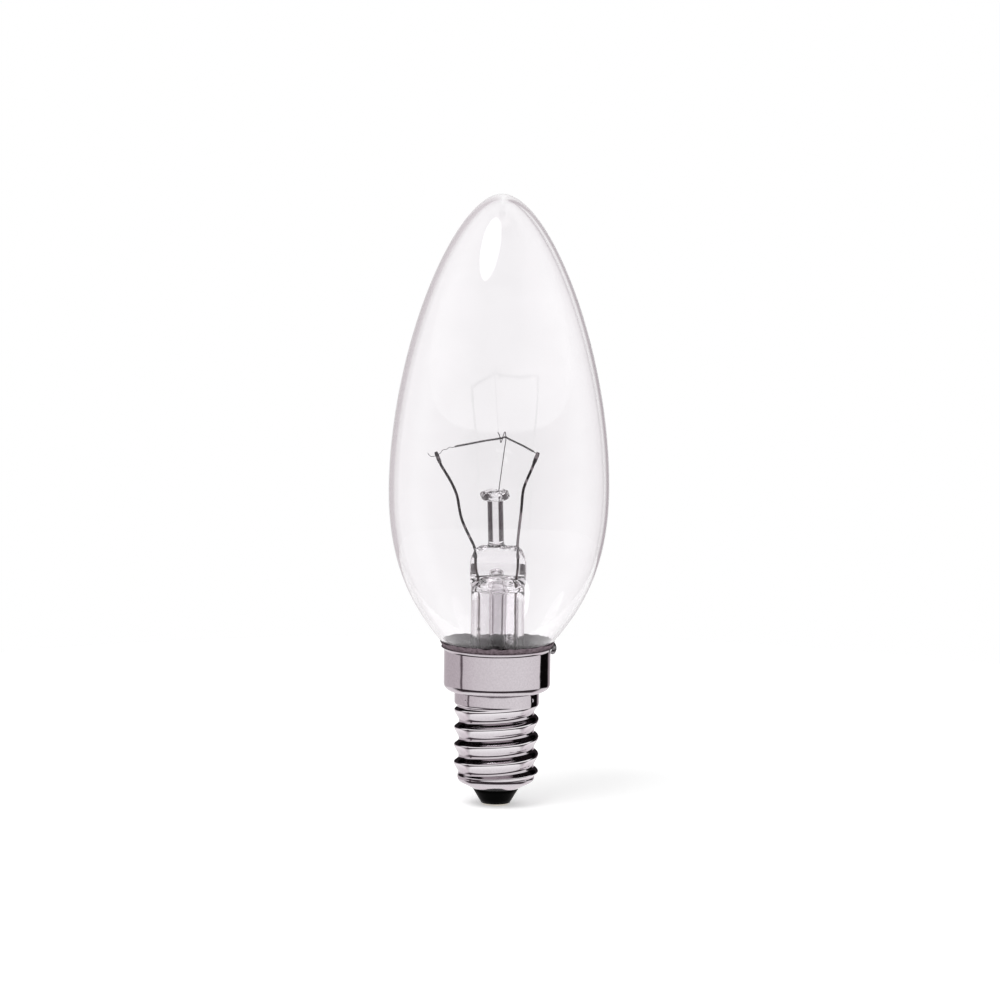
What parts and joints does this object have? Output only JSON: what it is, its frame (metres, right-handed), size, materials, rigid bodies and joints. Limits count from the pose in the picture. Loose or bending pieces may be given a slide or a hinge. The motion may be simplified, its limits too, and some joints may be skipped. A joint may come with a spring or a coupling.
{
  "type": "candle lamp bulb",
  "caption": "Clear candle-shaped filament bulb: blown glass, glass stem with leads and coil, and a small screw cap with a centre contact.",
  "frame": {"origin": "lowest point of the centre contact, on the lamp's axis", "axes": "+Z along the lamp's axis from the cap to the glass tip; +X from the left lead to the right lead, with the side solder at +X; the front is at -Y"},
  "size_m": [0.035, 0.035, 0.0976],
  "materials": {
    "clear_glass": "blown soda-lime glass, clear and fire-polished",
    "stem_glass": "drawn lead-free glass tube and rod, fused and pinched",
    "nickel_plate": "nickel-plated brass sheet, drawn and rolled",
    "black_glass": "opaque black glass, pressed",
    "cement": "baked capping cement, matt",
    "nickel_wire": "drawn nickel wire",
    "seal_wire": "copper-clad sealing wire",
    "copper_wire": "drawn copper wire",
    "tungsten_wire": "coiled tungsten wire",
    "support_wire": "drawn molybdenum wire",
    "contact_brass": "stamped brass",
    "solder": "tin solder, frozen drop"
  },
  "bodies": {
    "root": {"glass_bulb": "clear_glass", "stem_tube": "stem_glass", "exhaust_tube": "stem_glass", "support_rod": "stem_glass", "support_hook": "support_wire", "filament": "tungsten_wire", "lead_wire_left": "nickel_wire", "lead_wire_right": "nickel_wire", "seal_wire_left": "seal_wire", "seal_wire_right": "seal_wire", "tail_wire_left": "copper_wire", "tail_wire_right": "copper_wire", "weld_bead": "copper_wire", "fuse_wire": "copper_wire", "base_cement": "cement", "cap_shell": "nickel_plate", "cap_insulator": "black_glass", "contact_plate": "contact_brass", "centre_solder": "solder", "side_solder": "solder"}
  },
  "joints": []
}
